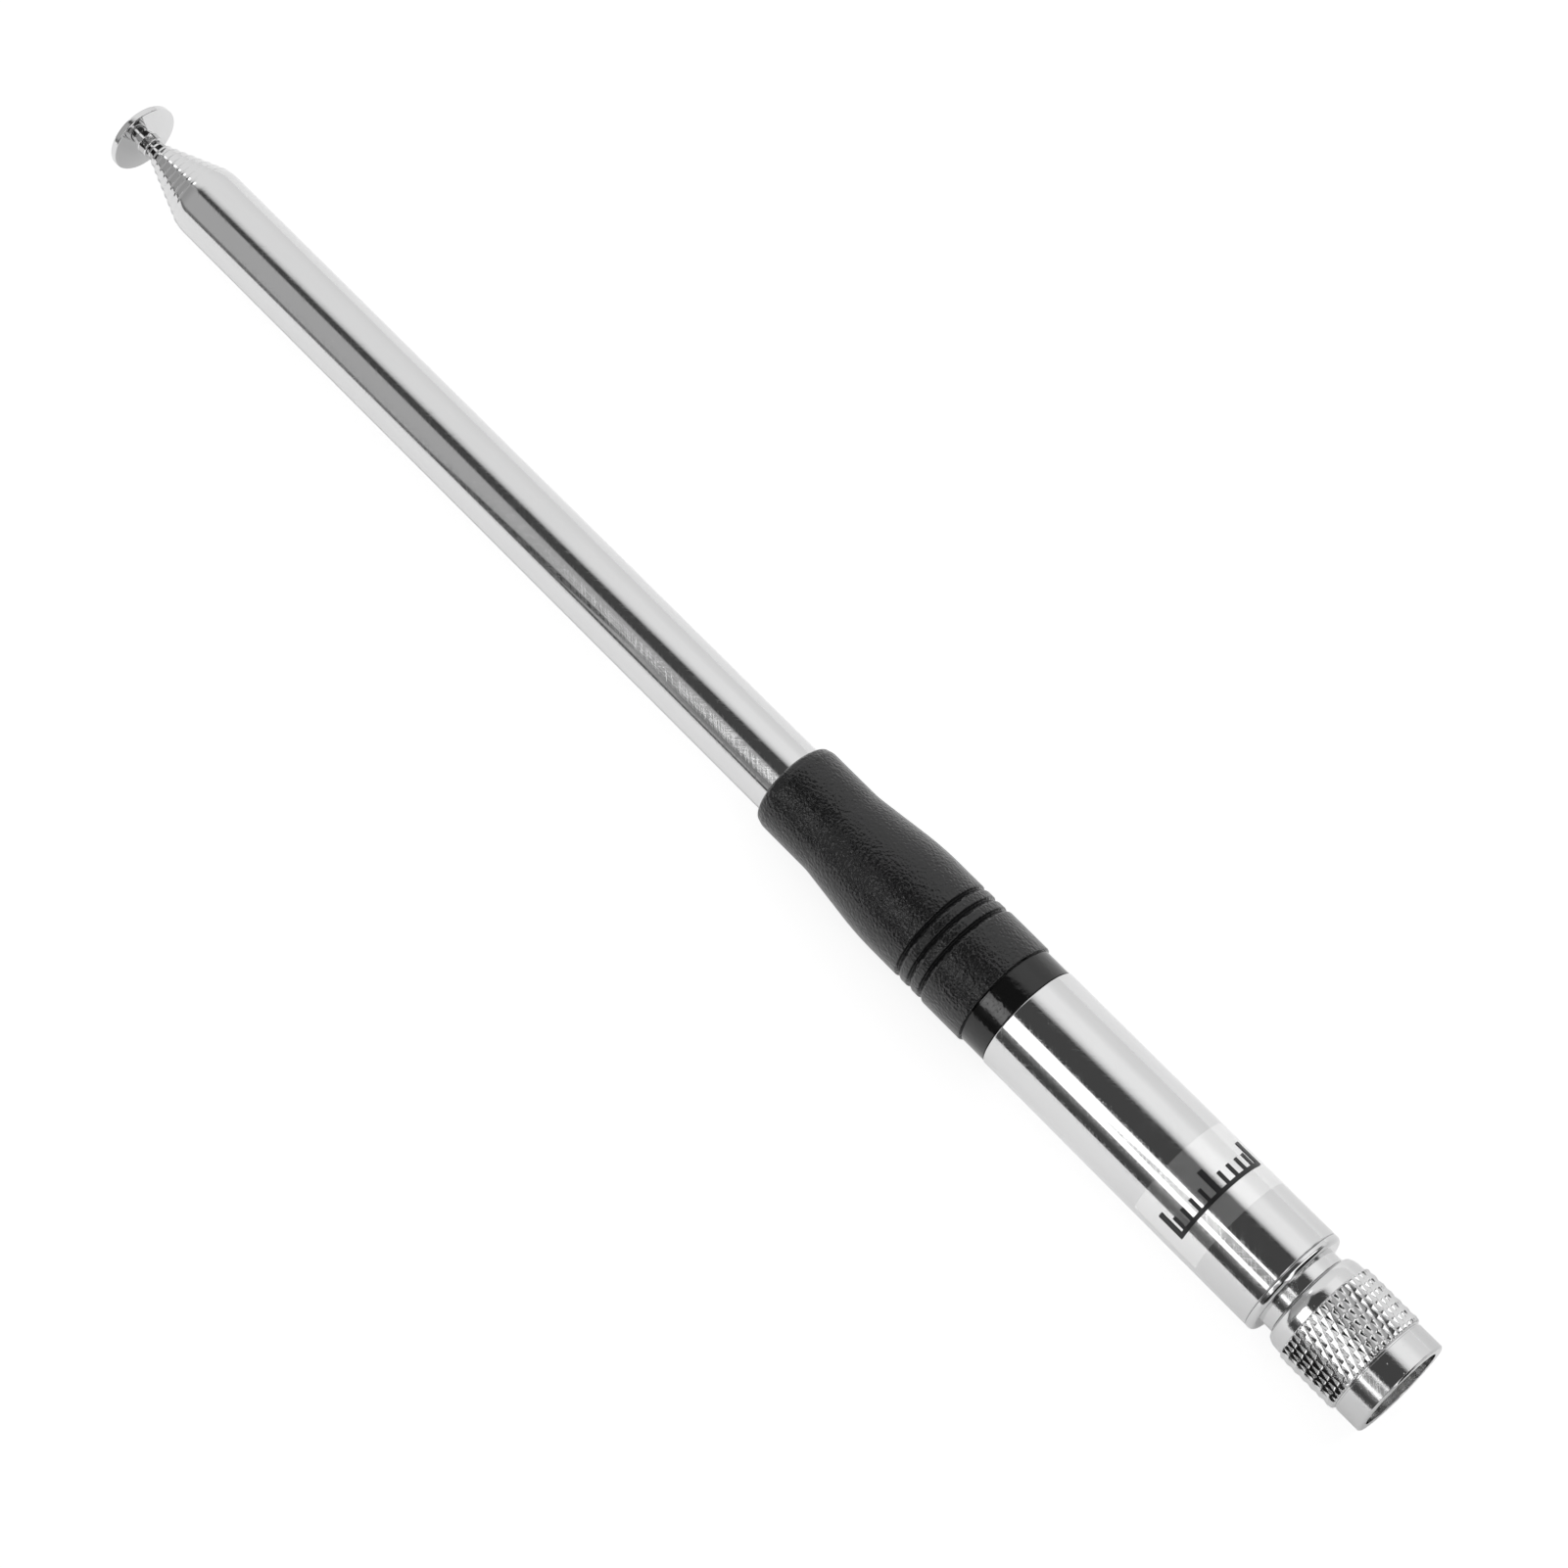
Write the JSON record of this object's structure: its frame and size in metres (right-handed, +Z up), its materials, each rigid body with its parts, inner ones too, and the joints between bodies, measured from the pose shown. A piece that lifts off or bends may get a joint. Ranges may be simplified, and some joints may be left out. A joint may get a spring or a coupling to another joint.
{
  "type": "telescopic antenna",
  "caption": "Collapsible whip antenna of nested chromed sections on a grip sleeve and base tube, with a screw-on coaxial plug.",
  "frame": {"origin": "on the axis at the plug's mating plane, the front end of its outer contact", "axes": "+X along the antenna's axis from the plug towards the tip, +Z up as it lies"},
  "size_m": [0.2286, 0.015, 0.015],
  "materials": {
    "chrome_metal": "polished chrome plating",
    "plug_plastic": "waxy",
    "gold_plate": "gold plating",
    "brass_metal": "turned",
    "seal_rubber": "matte",
    "clear_film": "clear adhesive film",
    "former_plastic": "moulded",
    "copper_wire": "enamelled",
    "collar_plastic": "glossy",
    "tinned_steel": "tinned",
    "grip_plastic": "fine spark-eroded grain"
  },
  "bodies": {
    "base": {"plug_body": "chrome_metal", "plug_insulator": "plug_plastic", "centre_pin": "gold_plate", "nut_retaining_ring": "brass_metal", "nut_gasket": "seal_rubber", "base_cap": "chrome_metal", "base_tube": "chrome_metal", "label_film": "clear_film", "coil_former": "former_plastic", "loading_coil": "copper_wire", "lower_lead": "copper_wire", "upper_lead": "copper_wire", "insulator_collar": "collar_plastic", "whip_foot": "brass_metal", "solder_tag": "tinned_steel", "foot_nut": "brass_metal", "grip_sleeve": "grip_plastic", "mast_section_1": "chrome_metal"},
    "coupling": {"coupling_nut": "chrome_metal"},
    "section_2": {"mast_section_2": "chrome_metal", "section_2_spring": "brass_metal"},
    "section_3": {"mast_section_3": "chrome_metal", "section_3_spring": "brass_metal"},
    "section_4": {"mast_section_4": "chrome_metal", "section_4_spring": "brass_metal"},
    "section_5": {"mast_section_5": "chrome_metal", "section_5_spring": "brass_metal"},
    "section_6": {"mast_section_6": "chrome_metal", "section_6_spring": "brass_metal"},
    "section_7": {"mast_section_7": "chrome_metal", "section_7_spring": "brass_metal"},
    "section_8": {"mast_section_8": "chrome_metal", "section_8_spring": "brass_metal"},
    "section_9": {"mast_section_9": "chrome_metal", "section_9_spring": "brass_metal"},
    "section_10": {"mast_section_10": "chrome_metal", "section_10_spring": "brass_metal", "tip_button": "chrome_metal"}
  },
  "joints": [
    {"name": "nut_spin", "type": "hinge", "parent": "base", "child": "coupling", "pos_m": [0.005, 0, 0], "axis": [1, 0, 0], "continuous": true},
    {"name": "section_2_slide", "type": "slide", "parent": "base", "child": "section_2", "axis": [1, 0, 0], "range_m": [0, 0.11485]},
    {"name": "section_3_slide", "type": "slide", "parent": "section_2", "child": "section_3", "axis": [1, 0, 0], "range_m": [0, 0.11605]},
    {"name": "section_4_slide", "type": "slide", "parent": "section_3", "child": "section_4", "axis": [1, 0, 0], "range_m": [0, 0.11725]},
    {"name": "section_5_slide", "type": "slide", "parent": "section_4", "child": "section_5", "axis": [1, 0, 0], "range_m": [0, 0.11845]},
    {"name": "section_6_slide", "type": "slide", "parent": "section_5", "child": "section_6", "axis": [1, 0, 0], "range_m": [0, 0.11965]},
    {"name": "section_7_slide", "type": "slide", "parent": "section_6", "child": "section_7", "axis": [1, 0, 0], "range_m": [0, 0.12085]},
    {"name": "section_8_slide", "type": "slide", "parent": "section_7", "child": "section_8", "axis": [1, 0, 0], "range_m": [0, 0.12205]},
    {"name": "section_9_slide", "type": "slide", "parent": "section_8", "child": "section_9", "axis": [1, 0, 0], "range_m": [0, 0.12325]},
    {"name": "section_10_slide", "type": "slide", "parent": "section_9", "child": "section_10", "axis": [1, 0, 0], "range_m": [0, 0.12445]}
  ]
}
